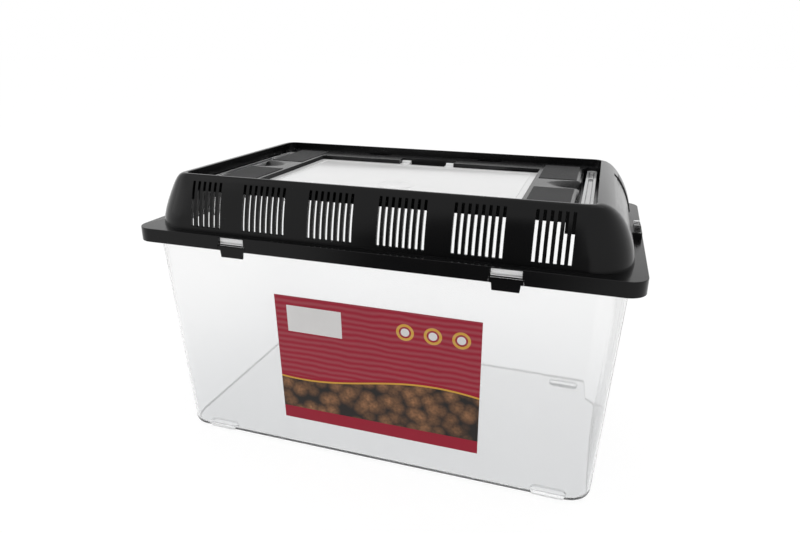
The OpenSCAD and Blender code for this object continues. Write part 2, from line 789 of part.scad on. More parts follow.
module hatch() {
    hx = hatch_l / 2 - hatch_gap;
    hy = (hatch_w - hatch_gap - hatch_back_gap) / 2;
    mid_y = (hatch_rear - hatch_back_gap - hatch_front + hatch_gap) / 2;
    border_hx = hx - border_in;
    border_hy = hy - border_in;
    dish_R = (dish_r * dish_r + dish_depth * dish_depth) / (2 * dish_depth);
    color([0.94, 0.95, 0.96, 0.6]) difference() {
        union() {
            translate([0, mid_y, 0]) {
                rounded_plate(hx, hy, hatch_corner_r, hatch_low, hatch_t);
                difference() {
                    rounded_plate(border_hx, border_hy, border_corner_r, hatch_top - hatch_t / 2,
                        hatch_t / 2 + border_h);
                    rounded_plate(border_hx - border_w, border_hy - border_w, border_inner_r, hatch_top,
                        2 * border_h);
                }
            }
            for (mx = [0, 1]) mirror([mx, 0, 0]) {
                block([tab_w / 2 - hinge_ear_w, hatch_rear - 2 * hatch_back_gap, hatch_low],
                      [tab_w / 2, axis_y, hatch_top]);
                translate([tab_w / 2 - hinge_ear_w, axis_y, axis_z]) rotate([0, 90, 0]) {
                    cylinder(r = barrel_r, h = hinge_ear_w);
                    cylinder(r = trunnion_r, h = hinge_ear_w + bay_side + bracket_w);
                }
            }
            // the dish's underside
            intersection() {
                translate([0, -dish_y, hatch_top + dish_R - dish_depth])
                    sphere(r = dish_R + hatch_t, $fn = 128);
                translate([0, -dish_y, hatch_top - dish_depth - hatch_t])
                    cylinder(r = dish_r + 2, h = dish_depth + hatch_t);
            }
        }
        translate([0, -dish_y, hatch_top + dish_R - dish_depth]) sphere(r = dish_R, $fn = 128);
    }
}

// ---------- Handles ----------

module handle() {
    color([0.94, 0.95, 0.96, 0.6]) translate([channel_x, 0, 0]) difference() {
        union() {
            stadium(bar_hy, bar_w / 2, bar_top - bar_h, bar_h);
            for (s = [-1, 1]) {
                y = s * leg_spacing / 2;
                block([-leg_t / 2, y - leg_w / 2, stop_top - stop_h],
                      [leg_t / 2, y + leg_w / 2, bar_top - bar_h + over]);
                block([-leg_t / 2, y - leg_w / 2 - stop_out, stop_top - stop_h],
                      [leg_t / 2, y + leg_w / 2 + stop_out, stop_top]);
            }
        }
        stadium(groove_l / 2, groove_w / 2, bar_top - groove_d, groove_d + over);
    }
}

module handle_right() {
    handle();
}

module handle_left() {
    mirror([1, 0, 0]) handle();
}

// ---------- Latch tabs ----------

// A tab for the front skirt, whose outer face is y = 0. Its plate ends level with
// the axis between the ears, so nothing turns in towards the tub.
module latch_tab() {
    low_z = latch_axis_z + latch_axis_in - latch_h;
    foot_hx = latch_w / 2 - latch_step;
    color([0.09, 0.09, 0.1]) {
        translate([0, latch_t, 0]) rotate([90, 0, 0]) linear_extrude(latch_t)
            polygon([[-latch_w / 2, latch_axis_z], [-latch_w / 2, skirt_z], [-foot_hx, skirt_z],
                     [-latch_low_w / 2, low_z], [latch_low_w / 2, low_z], [foot_hx, skirt_z],
                     [latch_w / 2, skirt_z], [latch_w / 2, latch_axis_z]]);
        for (s = [-1, 1]) {
            block([s * (latch_w - ear_t) / 2 - ear_t / 2, 0, skirt_z],
                  [s * (latch_w - ear_t) / 2 + ear_t / 2, skirt_t, latch_axis_z]);
            translate([s * (latch_w - ear_t) / 2, latch_axis_in, latch_axis_z])
                rotate([0, 90, 0]) cylinder(r = latch_axis_in, h = ear_t, center = true);
            translate([s * (latch_w / 2 + (latch_pin_l - ear_t) / 2), latch_axis_in, latch_axis_z])
                rotate([0, 90, 0]) cylinder(r = latch_pin_r, h = latch_pin_l + ear_t, center = true);
        }
    }
}

module latch_front_left() { at_latch("front_left") latch_tab(); }
module latch_front_right() { at_latch("front_right") latch_tab(); }
module latch_rear_left() { at_latch("rear_left") latch_tab(); }
module latch_rear_right() { at_latch("rear_right") latch_tab(); }
module latch_end_left() { at_latch("end_left") latch_tab(); }
module latch_end_right() { at_latch("end_right") latch_tab(); }

tub();
label();
hood();
deck();
hatch();
handle_left();
handle_right();
latch_front_left();
latch_front_right();
latch_rear_left();
latch_rear_right();
latch_end_left();
latch_end_right();
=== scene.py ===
"""Dresses the clear pet keeper: smooth mouldings, clear and black plastics, label and stage."""

from math import cos, radians, sin

import bpy
from mathutils import Matrix, Vector


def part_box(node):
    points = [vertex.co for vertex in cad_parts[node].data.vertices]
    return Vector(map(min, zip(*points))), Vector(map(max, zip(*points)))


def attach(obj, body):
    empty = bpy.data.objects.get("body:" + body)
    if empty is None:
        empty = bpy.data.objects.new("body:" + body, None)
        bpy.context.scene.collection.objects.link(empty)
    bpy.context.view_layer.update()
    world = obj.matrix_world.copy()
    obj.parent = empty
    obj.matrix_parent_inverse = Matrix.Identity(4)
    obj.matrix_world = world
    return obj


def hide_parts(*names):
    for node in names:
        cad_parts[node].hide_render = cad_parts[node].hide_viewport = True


bl_info = {
    "name": "Pet Keeper Finish",
    "version": (1, 0, 0),
    "blender": (4, 5, 0),
    "location": "3D View > Sidebar > Keeper",
    "description": "Dresses the clear pet keeper and sets its stage",
    "category": "Object",
}

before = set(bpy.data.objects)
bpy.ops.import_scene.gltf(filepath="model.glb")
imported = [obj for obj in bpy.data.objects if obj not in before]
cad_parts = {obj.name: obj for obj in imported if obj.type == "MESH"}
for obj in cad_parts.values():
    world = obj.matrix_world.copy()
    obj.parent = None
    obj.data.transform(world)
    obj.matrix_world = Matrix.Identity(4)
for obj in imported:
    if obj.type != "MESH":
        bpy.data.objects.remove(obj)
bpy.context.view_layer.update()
# A millimetre in metres
MM = 0.001

# Places nearer than this count as the same
NEAR = 0.02 * MM
# Points nearer than this are merged
WELD = 0.002 * MM
# Neighbouring faces that turn less than this are joined
FLAT = radians(0.3)
# Edges that turn more than this stay sharp
SHARP = radians(34)

WHITE = (1, 1, 1, 1)


# ---------- Settings ----------


def colour_setting(name, description, value):
    """A colour that a user may change"""
    return bpy.props.FloatVectorProperty(
        name=name, description=description, subtype="COLOR", size=3, min=0, max=1, default=value)


def length_setting(name, description, value):
    """A small size that a user may change"""
    return bpy.props.FloatProperty(
        name=name, description=description, subtype="DISTANCE", unit="LENGTH", min=0, max=5 * MM,
        default=value)


def place_setting(name, description, value):
    """A place that a user may change"""
    return bpy.props.FloatVectorProperty(
        name=name, description=description, subtype="TRANSLATION", unit="LENGTH", size=3,
        default=value)


class KeeperPlastics(bpy.types.PropertyGroup):
    """Colours of the mouldings"""

    black: colour_setting("Black", "Colour of the lid and latches", (0.004, 0.004, 0.0043))
    deck_black: colour_setting("Deck", "Colour of the deck tray", (0.009, 0.009, 0.0095))
    clear: colour_setting("Clear", "Tint of the clear plastic", (1.0, 1.0, 1.0))
    # Colour that the tub's plastic is made darker to near its floor
    clear_low: colour_setting(
        "Clear at the Foot", "Tint of the tub's plastic near its floor", (0.88, 0.885, 0.89))
    # Painted shade of the handles' groove
    groove_shade: colour_setting("Groove", "Colour in the groove of the handles", (0.2, 0.2, 0.21))


class KeeperDetails(bpy.types.PropertyGroup):
    """Sizes of the small shapes that finish the mouldings"""

    edge: length_setting("Edge Radius", "Rounding of the mouldings' edges", 0.4 * MM)
    lip_tall: length_setting("Lip Height", "Height of the lip over a latch plate", 1.6 * MM)
    lip_thick: length_setting("Lip Thickness", "Thickness of the lip over a latch plate", 0.8 * MM)
    groove_out: length_setting(
        "Groove Reach", "Distance of the oval groove from a handle's middle line", 1.9 * MM)
    groove_wide: length_setting("Groove Width", "Width of the oval groove on a handle", 0.9 * MM)


class KeeperLabel(bpy.types.PropertyGroup):
    """Colours of the label's generic design"""

    ground: colour_setting("Ground", "Colour of the label's ground", (0.38, 0.006, 0.03))
    band: colour_setting("Band", "Darkest colour of the pebble band", (0.012, 0.008, 0.007))
    stone: colour_setting("Stone", "Lightest colour of the pebble band", (0.42, 0.2, 0.09))
    line: colour_setting("Line", "Colour of the line along the band", (0.75, 0.42, 0.06))
    panel: colour_setting("Panel", "Colour of the blank panel", (0.87, 0.86, 0.85))


class KeeperStage(bpy.types.PropertyGroup):
    """Camera, lamps, even light and dark card"""

    camera_place: place_setting("Camera", "Where the camera stands", (0.16738, -0.53854, 0.35480))
    camera_turn: bpy.props.FloatVectorProperty(
        name="Turn", description="Camera yaw, pitch and roll", subtype="EULER",
        size=3, default=(radians(17.863), radians(-19.508), radians(0.479)))
    focal: bpy.props.FloatProperty(
        name="Focal Length", description="Lens in millimetres on a 36 mm sensor",
        min=10, max=120, default=27.534)
    sky: bpy.props.FloatProperty(
        name="Sky", description="Strength of the even light all round",
        min=0, max=3, default=0.62)
    key: bpy.props.FloatProperty(
        name="Key", description="Power of the large lamp above", unit="POWER",
        min=0, max=60, default=9.0)
    fill: bpy.props.FloatProperty(
        name="Fill", description="Power of the lamp at the left", unit="POWER",
        min=0, max=60, default=3.0)
    card_place: place_setting("Card", "Where the middle of the dark card stands", (-0.02, -0.95, 0.36))
    card_size: bpy.props.FloatVectorProperty(
        name="Card Size", description="Width and height of the dark card", subtype="XYZ_LENGTH",
        unit="LENGTH", size=2, min=0, default=(0.6, 1.9))
    card_tilt: bpy.props.FloatProperty(
        name="Card Tilt", description="Lean of the dark card, turned about X", subtype="ANGLE",
        unit="ROTATION", default=radians(-36))


# ---------- Tools for shapes ----------


def select_only(piece):
    """Selects one piece and makes it active"""
    bpy.ops.object.select_all(action="DESELECT")
    piece.select_set(True)
    bpy.context.view_layer.objects.active = piece


def finish_with(piece, kind, **settings):
    """Gives the active piece a modifier with these settings and applies it"""
    bpy.ops.object.modifier_add(type=kind)
    modifier = piece.modifiers[-1]
    for name, value in settings.items():
        setattr(modifier, name, value)
    bpy.ops.object.modifier_apply(modifier=modifier.name)


def moulded_copy(node, name, body, materials, edge=0, shape=None):
    """A merged copy of a node's mesh with smooth curves, which stands for it

    Its edges are rounded by the radius given. A shape function first works on the copy, and
    gets it with the lowest and highest corner of the node.
    """
    piece = bpy.data.objects.new(name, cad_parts[node].data.copy())
    bpy.context.scene.collection.objects.link(piece)
    piece.data.materials.clear()
    select_only(piece)
    bpy.ops.object.mode_set(mode="EDIT")
    bpy.ops.mesh.select_mode(type="VERT")
    bpy.ops.mesh.select_all(action="SELECT")
    bpy.ops.mesh.remove_doubles(threshold=WELD)
    bpy.ops.mesh.dissolve_limited(angle_limit=FLAT)
    bpy.ops.object.mode_set(mode="OBJECT")
    if shape:
        shape(piece, *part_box(node))
    if edge:
        finish_with(piece, "BEVEL", width=edge, segments=2, limit_method="ANGLE",
                    angle_limit=SHARP, use_clamp_overlap=True)
    bpy.ops.object.shade_smooth_by_angle(angle=SHARP)
    finish_with(piece, "WEIGHTED_NORMAL", keep_sharp=True)
    for material in materials:
        piece.data.materials.append(material)
    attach(piece, body)
    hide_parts(node)
    return piece


def round_edges(piece, chosen, width, segments=3):
    """Rounds the edges that a test of their two ends picks"""
    select_only(piece)
    bpy.ops.object.mode_set(mode="EDIT")
    bpy.ops.mesh.select_mode(type="EDGE")
    bpy.ops.mesh.select_all(action="DESELECT")
    bpy.ops.object.mode_set(mode="OBJECT")
    points = piece.data.vertices
    for edge in piece.data.edges:
        edge.select = chosen(points[edge.vertices[0]].co, points[edge.vertices[1]].co)
    bpy.ops.object.mode_set(mode="EDIT")
    bpy.ops.mesh.bevel(offset=width, segments=segments, affect="EDGES", clamp_overlap=True)
    bpy.ops.object.mode_set(mode="OBJECT")


def on_outline(point, corner, radius):
    """Whether a point lies on the upright face of a rounded rectangle about the origin"""
    x = max(abs(point.x) - (corner.x - radius), 0)
    y = max(abs(point.y) - (corner.y - radius), 0)
    return abs((x * x + y * y) ** 0.5 - radius) < NEAR and (x > 0 or y > 0)


# ---------- Tools for materials ----------


def feed(tree, node, inputs):
    """Gives each input named its value, or a link where the value is a socket"""
    for name, value in inputs.items():
        if isinstance(value, bpy.types.NodeSocket):
            tree.links.new(value, node.inputs[name])
        else:
            node.inputs[name].default_value = value


def add_node(tree, kind, inputs=None, **settings):
    """A new shader node with its settings made and its inputs fed"""
    node = tree.nodes.new("ShaderNode" + kind)
    for name, value in settings.items():
        setattr(node, name, value)
    feed(tree, node, inputs or {})
    return node


def maths(tree, operation, *values, clamp=False):
    """One step of arithmetic on sockets and numbers"""
    step = add_node(tree, "Math", dict(enumerate(values)), operation=operation, use_clamp=clamp)
    return step.outputs[0]


def reach(tree, across, along):
    """How far a place lies from a centre, from its two distances at right angles"""
    squares = [maths(tree, "MULTIPLY", leg, leg) for leg in (across, along)]
    return maths(tree, "SQRT", maths(tree, "ADD", *squares))


def opaque(tint):
    """A colour with full alpha"""
    return (*tint, 1)


def shades(tint, dark, light):
    """Two shades of a colour, at the given shares of its strength"""
    return [opaque([share * part for part in tint]) for share in (dark, light)]


def blend(tree, mask, under, over):
    """Lays one colour over another where the mask is 1"""
    mix = add_node(tree, "Mix", {"Factor": mask, "A": under, "B": over}, data_type="RGBA")
    return mix.outputs["Result"]


def axes(tree):
    """Sockets with the place on the piece and with its X, Y and Z"""
    spot = add_node(tree, "TexCoord").outputs["Object"]
    split = add_node(tree, "SeparateXYZ", {"Vector": spot})
    return spot, split.outputs["X"], split.outputs["Y"], split.outputs["Z"]


def new_material(name):
    """A material and its shader, or None for the shader where the material is there already"""
    material = bpy.data.materials.get(name)
    if material:
        return material, None
    material = bpy.data.materials.new(name)
    material.use_nodes = True
    return material, material.node_tree.nodes["Principled BSDF"]


def blank_tree(owner):
    """The emptied node tree of a material or world"""
    owner.use_nodes = True
    owner.node_tree.nodes.clear()
    return owner.node_tree


def show_mix(tree, output, mask, first, second):
    """Shows the first shader where the mask is 0 and the second where it is 1"""
    mix = add_node(tree, "MixShader", {"Fac": mask, 1: first.outputs[0], 2: second.outputs[0]})
    add_node(tree, output, {"Surface": mix.outputs[0]})


# ---------- Plastics ----------


def moulding_grain():
    """Flow marks and fine grain of injection-moulded plastic, in colour, gloss and surface"""
    name = "Moulding Grain"
    if name in bpy.data.node_groups:
        return bpy.data.node_groups[name]
    group = bpy.data.node_groups.new(name, "ShaderNodeTree")
    for label, kind in (("Grain Scale", "Float"), ("Grain Height", "Float"),
                        ("Flow Height", "Float"), ("Gloss Low", "Float"), ("Gloss High", "Float"),
                        ("Dark", "Color"), ("Light", "Color")):
        group.interface.new_socket(name=label, in_out="INPUT", socket_type="NodeSocket" + kind)
    for label, kind in (("Colour", "Color"), ("Roughness", "Float"), ("Normal", "Vector")):
        group.interface.new_socket(name=label, in_out="OUTPUT", socket_type="NodeSocket" + kind)
    given = group.nodes.new("NodeGroupInput").outputs
    spot = add_node(group, "TexCoord").outputs["Object"]
    grain = add_node(group, "TexNoise", {"Vector": spot, "Scale": given["Grain Scale"], "Detail": 2})
    flow = add_node(group, "TexNoise", {"Vector": spot, "Scale": 26, "Detail": 3}).outputs["Fac"]
    gloss = add_node(group, "MapRange", {
        "Value": flow, "To Min": given["Gloss Low"], "To Max": given["Gloss High"]})
    wave = add_node(group, "Bump", {
        "Height": flow, "Strength": given["Flow Height"], "Distance": 0.4 * MM})
    fine = add_node(group, "Bump", {
        "Height": grain.outputs["Fac"], "Strength": given["Grain Height"], "Distance": 0.12 * MM,
        "Normal": wave.outputs["Normal"]})
    feed(group, group.nodes.new("NodeGroupOutput"), {
        "Colour": blend(group, flow, given["Dark"], given["Light"]),
        "Roughness": gloss.outputs["Result"], "Normal": fine.outputs["Normal"]})
    return group


def grained(tree, shader, tints, gloss, scale, height, flow):
    """Feeds a shader from the moulding grain with the plastic's own values"""
    grain = add_node(tree, "Group", {
        "Grain Scale": scale, "Grain Height": height, "Flow Height": flow, "Gloss Low": gloss[0],
        "Gloss High": gloss[1], "Dark": tints[0], "Light": tints[1]}, node_tree=moulding_grain())
    feed(tree, shader, {
        "Base Color": grain.outputs["Colour"], "Roughness": grain.outputs["Roughness"],
        "Normal": grain.outputs["Normal"]})
    return grain


def smooth_black(name, tint, ior, height, gloss):
    """Smooth plastic whose colour varies a little about the one given"""
    material, shader = new_material(name)
    if shader:
        grained(material.node_tree, shader, shades(tint, dark=0.8, light=1.3), gloss,
                scale=1500, height=height, flow=0.05)
        shader.inputs["IOR"].default_value = ior
    return material


def shell_plastic():
    """Glossy black of the lid shell and the latches"""
    return smooth_black("Black Moulded Plastic", bpy.context.scene.keeper_plastics.black,
                        ior=1.28, height=0.16, gloss=(0.14, 0.22))


def deck_plastic():
    """Satin black of the deck tray"""
    return smooth_black("Satin Deck Plastic", bpy.context.scene.keeper_plastics.deck_black,
                        ior=1.34, height=0.2, gloss=(0.18, 0.26))


def grip_plastic():
    """Matt black of the grip pads, with fine diagonal ribs"""
    material, shader = new_material("Grip Pad Grain")
    if not shader:
        return material
    tree = material.node_tree
    tint = bpy.context.scene.keeper_plastics.deck_black
    grain = grained(tree, shader, shades(tint, dark=1.2, light=2.2), gloss=(0.5, 0.65),
                    scale=900, height=0.7, flow=0)
    spot = add_node(tree, "TexCoord").outputs["Object"]
    turned = add_node(tree, "Mapping", {"Vector": spot, "Rotation": (0, 0, radians(38))})
    lines = add_node(tree, "TexWave", {
        "Vector": turned.outputs["Vector"], "Scale": 190, "Distortion": 0.6})
    ribs = add_node(tree, "Bump", {
        "Height": lines.outputs["Fac"], "Strength": 0.6, "Distance": 0.5 * MM,
        "Normal": grain.outputs["Normal"]})
    feed(tree, shader, {"IOR": 1.3, "Normal": ribs.outputs["Normal"]})
    return material


def clear_plastic(name, haze, gloss, ior=1.3, fade=0):
    """Clear plastic

    Haze is the share that scatters light instead of passing it. Up to the height fade, the plastic is
    made darker towards the floor.
    """
    material, shader = new_material(name)
    if not shader:
        return material
    tree = material.node_tree
    plastics = bpy.context.scene.keeper_plastics
    grain = grained(tree, shader, shades(plastics.clear, dark=0.98, light=1), gloss,
                    scale=1200, height=0.03, flow=0.08)
    feed(tree, shader, {"IOR": ior, "Transmission Weight": 1 - haze})
    # Darker towards the floor, up to the height fade
    if fade:
        z = axes(tree)[3]
        rise = add_node(tree, "MapRange", {"Value": z, "From Max": fade},
                        interpolation_type="SMOOTHSTEP")
        tint = blend(tree, rise.outputs["Result"], opaque(plastics.clear_low),
                     grain.outputs["Colour"])
        tree.links.new(tint, shader.inputs["Base Color"])
    return material


# ---------- Label ----------


class LabelArt:
    """The label's generic design, laid on its ground one motif after another

    It is laid out in shares of the label's width and height, with line widths in metres.
    """

    # Shares of the height: the band's foot, and the waved line's level and swing
    band_foot = 0.10
    wave_level = 0.40
    wave_swing = 0.06
    # Radians of the wave to a metre along the label
    wave_turn = 26
    line_wide = 1.6 * MM
    # Brightness in a stone's middle, its fall towards the rim, and the gain on its specks
    stone_middle = 1.15
    stone_fall = 1.5
    speck_gain = 1.5
    # Gap from the line's foot to the swell, and how strongly the swell shows
    swell_gap = 4 * MM
    swell_share = 0.07
    # Rings, placed by shares from the label's right edge and top
    ring_count = 3
    ring_margin = 0.09
    ring_pitch = 0.13
    ring_drop = 0.15
    ring_inner = 5.2 * MM
    ring_outer = 7.5 * MM
    dot_radius = 3.6 * MM
    # Blank panel, placed by shares from the label's left edge and top
    panel_left, panel_right = 0.06, 0.34
    panel_top, panel_foot = 0.07, 0.27

    def __init__(self, tree):
        self.tree = tree
        self.colours = bpy.context.scene.keeper_label
        self.low, self.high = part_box("label")
        self.wide, self.tall = self.high.x - self.low.x, self.high.z - self.low.z
        self.spot, self.x, _, self.z = axes(tree)
        sway = self.maths("SINE", self.maths("MULTIPLY", self.x, self.wave_turn))
        self.crest = self.maths("ADD", self.low.z + self.wave_level * self.tall,
                                self.maths("MULTIPLY", sway, self.wave_swing * self.tall))
        self.art = opaque(self.colours.ground)
        self.pebble_band()
        self.waved_line()
        for k in range(self.ring_count):
            self.ring(self.high.x - (self.ring_margin + self.ring_pitch * k) * self.wide)
        self.swell()
        self.blank_panel()

    def maths(self, operation, *values, clamp=False):
        """One step of arithmetic in the label's own tree"""
        return maths(self.tree, operation, *values, clamp=clamp)

    def between(self, value, start, end):
        """1 where a value lies between two others"""
        return self.maths("MULTIPLY", self.maths("GREATER_THAN", value, start),
                          self.maths("LESS_THAN", value, end))

    def lay(self, mask, tint):
        """Lays a colour over the art where the mask is 1"""
        over = tint if isinstance(tint, bpy.types.NodeSocket) else opaque(tint)
        self.art = blend(self.tree, mask, self.art, over)

    def pebble_band(self):
        """Speckled pebbles from the band's foot up, which the next motif cuts off"""
        pebbles = add_node(self.tree, "TexVoronoi", {
            "Vector": self.spot, "Scale": 85, "Randomness": 0.8})
        specks = add_node(self.tree, "TexNoise", {"Vector": self.spot, "Scale": 420, "Detail": 4})
        fall = self.maths("MULTIPLY", pebbles.outputs["Distance"], self.stone_fall)
        shade = self.maths("SUBTRACT", self.stone_middle, fall, clamp=True)
        speckle = self.maths("MULTIPLY", specks.outputs["Fac"], self.speck_gain)
        shade = self.maths("MULTIPLY", shade, speckle, clamp=True)
        stones = blend(self.tree, shade, opaque(self.colours.band), opaque(self.colours.stone))
        self.lay(self.maths("GREATER_THAN", self.z, self.low.z + self.band_foot * self.tall), stones)

    def waved_line(self):
        """The line along the band's crest, with plain ground above it"""
        self.lay(self.maths("GREATER_THAN", self.z, self.crest), self.colours.line)
        end = self.maths("ADD", self.crest, self.line_wide)
        self.lay(self.maths("GREATER_THAN", self.z, end), self.colours.ground)

    def ring(self, middle):
        """A ring with a dot in it, near the label's top"""
        away = reach(self.tree, self.maths("SUBTRACT", self.x, middle),
                     self.maths("SUBTRACT", self.z, self.high.z - self.ring_drop * self.tall))
        self.lay(self.between(away, self.ring_inner, self.ring_outer), self.colours.line)
        self.lay(self.maths("LESS_THAN", away, self.dot_radius), self.colours.panel)

    def swell(self):
        """Faint waves over the ground above the line"""
        waves = add_node(self.tree, "TexWave", {
            "Vector": self.spot, "Scale": 60, "Distortion": 2.5, "Detail Scale": 0.6},
            bands_direction="Z")
        start = self.maths("ADD", self.crest, self.swell_gap)
        faint = self.maths("MULTIPLY", waves.outputs["Fac"], self.swell_share)
        self.lay(self.maths("MULTIPLY", faint, self.maths("GREATER_THAN", self.z, start)),
                 self.colours.panel)

    def blank_panel(self):
        """The blank panel at the label's upper left"""
        across = self.between(self.x, self.low.x + self.panel_left * self.wide,
                              self.low.x + self.panel_right * self.wide)
        up = self.between(self.z, self.high.z - self.panel_foot * self.tall,
                          self.high.z - self.panel_top * self.tall)
        self.lay(self.maths("MULTIPLY", across, up), self.colours.panel)


def label_print():
    """Printed film, a little uneven in colour and gloss"""
    material, shader = new_material("Label Print")
    if not shader:
        return material
    tree = material.node_tree
    design = LabelArt(tree)
    mottle = add_node(tree, "TexNoise", {"Vector": design.spot, "Scale": 40}).outputs["Fac"]
    ink = add_node(tree, "Mix", {"Factor": 0.12, "A": design.art, "B": mottle},
                   data_type="RGBA", blend_type="MULTIPLY")
    sheen = add_node(tree, "MapRange", {"Value": mottle, "To Min": 0.3, "To Max": 0.45})
    ripple = add_node(tree, "Bump", {"Height": mottle, "Strength": 0.08, "Distance": 0.4 * MM})
    feed(tree, shader, {
        "Base Color": ink.outputs["Result"], "Roughness": sheen.outputs["Result"],
        "Normal": ripple.outputs["Normal"], "IOR": 1.35})
    return material


# ---------- Pieces ----------


class KEEPER_OT_tub(bpy.types.Operator):
    """Dress the clear tub"""

    bl_idname = "keeper.tub"
    bl_label = "Clear Tub"

    # Places of the four finishes in the tub's material slots
    wall, lug, foot, floor = range(4)
    # Refractive index of the thin walls
    ior = 1.17
    # Height at which the darkening towards the floor has gone
    fade = 190 * MM
    # The feet and the floor's underside lie below this height
    foot_top = 6 * MM
    # The lugs and tongues lie this near the sides of the tub's box, and this far below its top
    lug_proud = 1 * MM
    lug_zone = 19 * MM
    # A face is level when its normal is at least this upright
    level = 0.9

    def execute(self, context):
        tub = moulded_copy("tub", "clear_tub", "tub", (
            clear_plastic("Clear Tub Plastic", haze=0.03, gloss=(0.05, 0.1), ior=self.ior,
                          fade=self.fade),
            clear_plastic("Ridged Lug Plastic", haze=0.7, gloss=(0.12, 0.2)),
            clear_plastic("Frosted Foot Plastic", haze=0.6, gloss=(0.12, 0.2), ior=self.ior),
            clear_plastic("Tub Floor Plastic", haze=0.06, gloss=(0.05, 0.1), ior=self.ior,
                          fade=self.fade)))
        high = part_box("tub")[1]
        for face in tub.data.polygons:
            face.material_index = self.region(face, high)
        return {"FINISHED"}

    def region(self, face, high):
        """Which of the tub's four finishes a face has"""
        x, y, z = face.center
        outermost = max(abs(x) - high.x, abs(y) - high.y) > -self.lug_proud
        if outermost and z > high.z - self.lug_zone:
            return self.lug
        if z < self.foot_top:
            return self.floor if abs(face.normal.z) > self.level else self.foot
        return self.wall


class KEEPER_OT_label(bpy.types.Operator):
    """Lay the label on the front wall"""

    bl_idname = "keeper.label"
    bl_label = "Label"

    def execute(self, context):
        moulded_copy("label", "front_label", "tub", [label_print()])
        return {"FINISHED"}


class KEEPER_OT_lid_shell(bpy.types.Operator):
    """Dress the vented lid shell"""

    bl_idname = "keeper.lid_shell"
    bl_label = "Lid Shell"

    # Height of the skirt, and radius of its outer corners
    skirt_tall = 12 * MM
    corner = 15 * MM

    def execute(self, context):
        moulded_copy("hood", "vented_hood", "lid", [shell_plastic()],
                     shape=self.soften)
        return {"FINISHED"}

    def soften(self, hood, low, high):
        """Rounds the rim's top and the skirt's upper and lower edges"""
        edge = bpy.context.scene.keeper_details.edge
        levels = (low.z, low.z + self.skirt_tall)

        def rim(a, b):
            return min(a.z, b.z) > high.z - NEAR

        def skirt(a, b):
            level = any(max(abs(a.z - z), abs(b.z - z)) < NEAR for z in levels)
            return level and all(on_outline(end, high, self.corner) for end in (a, b))

        round_edges(hood, rim, 2 * edge)
        round_edges(hood, skirt, edge)


class KEEPER_OT_deck(bpy.types.Operator):
    """Dress the deck tray, with grain on its grip pads"""

    bl_idname = "keeper.deck"
    bl_label = "Deck Tray"

    # Place of the grip pads' finish in the deck's material slots
    grip = 1

    def execute(self, context):
        deck = moulded_copy("deck", "deck_tray", "lid",
                            (deck_plastic(), grip_plastic()))
        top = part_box("deck")[1].z
        for face in deck.data.polygons:
            if face.center.z > top - NEAR:
                face.material_index = self.grip
        return {"FINISHED"}


class KEEPER_OT_hatch(bpy.types.Operator):
    """Dress the clear hatch"""

    bl_idname = "keeper.hatch"
    bl_label = "Hatch"

    def execute(self, context):
        moulded_copy("hatch", "clear_hatch", "hatch",
                     [clear_plastic("Clear Hatch Plastic", haze=0.85, gloss=(0.1, 0.18), ior=1.4)])
        return {"FINISHED"}


class KEEPER_OT_handles(bpy.types.Operator):
    """Dress both pull-up handles"""

    bl_idname = "keeper.handles"
    bl_label = "Handles"

    # Rounding of the bar's ends, as a share of its width
    end_rounding = 0.42
    # The groove's ends turn about points this far in from the bar's ends
    groove_end = 11 * MM
    # The painted groove shade shows down to this depth below the bar's top
    groove_deep = 1.2 * MM

    def execute(self, context):
        edge = context.scene.keeper_details.edge
        for side in ("left", "right"):
            node = "handle_" + side
            moulded_copy(node, "pull_" + side, node, [self.groove_shaded_plastic()],
                         2 * edge, self.round_ends)
        return {"FINISHED"}

    def round_ends(self, bar, low, high):
        """Rounds the upright edges at the bar's two ends"""

        def upright_at_end(a, b):
            upright = max(abs(a.x - b.x), abs(a.y - b.y)) < NEAR
            return upright and (a.y > high.y - NEAR or a.y < low.y + NEAR)

        round_edges(bar, upright_at_end, self.end_rounding * (high.x - low.x), segments=6)

    def groove_shaded_plastic(self):
        """Clear plastic with the shade of a long oval groove painted along the top of either bar"""
        material = clear_plastic("Clear Handle Plastic", haze=0.3, gloss=(0.06, 0.12), ior=1.4)
        tree = material.node_tree
        if "Oval Groove" in tree.nodes:
            return material
        tint = opaque(bpy.context.scene.keeper_plastics.groove_shade)
        base = tree.nodes["Principled BSDF"].inputs["Base Color"]
        # Painted shade of the groove, laid over the clear plastic with no cut in its surface
        groove_shade = add_node(tree, "Mix", {
            "Factor": self.groove_shade_mask(tree), "A": base.links[0].from_socket, "B": tint,
        }, name="Oval Groove", data_type="RGBA")
        tree.links.new(groove_shade.outputs["Result"], base)
        return material

    def groove_shade_mask(self, tree):
        """1 along an oval about the middle line of either bar's top, where the groove's shade is
        painted
        """
        details = bpy.context.scene.keeper_details
        low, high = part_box("handle_right")
        _, x, y, z = axes(tree)
        across = maths(tree, "SUBTRACT", maths(tree, "ABSOLUTE", x), (low.x + high.x) / 2)
        past = maths(tree, "SUBTRACT", maths(tree, "ABSOLUTE", y), high.y - self.groove_end)
        out = reach(tree, across, maths(tree, "MAXIMUM", past, 0))
        off = maths(tree, "ABSOLUTE", maths(tree, "SUBTRACT", out, details.groove_out))
        return maths(tree, "MULTIPLY", maths(tree, "LESS_THAN", off, details.groove_wide / 2),
                     maths(tree, "GREATER_THAN", z, high.z - self.groove_deep))


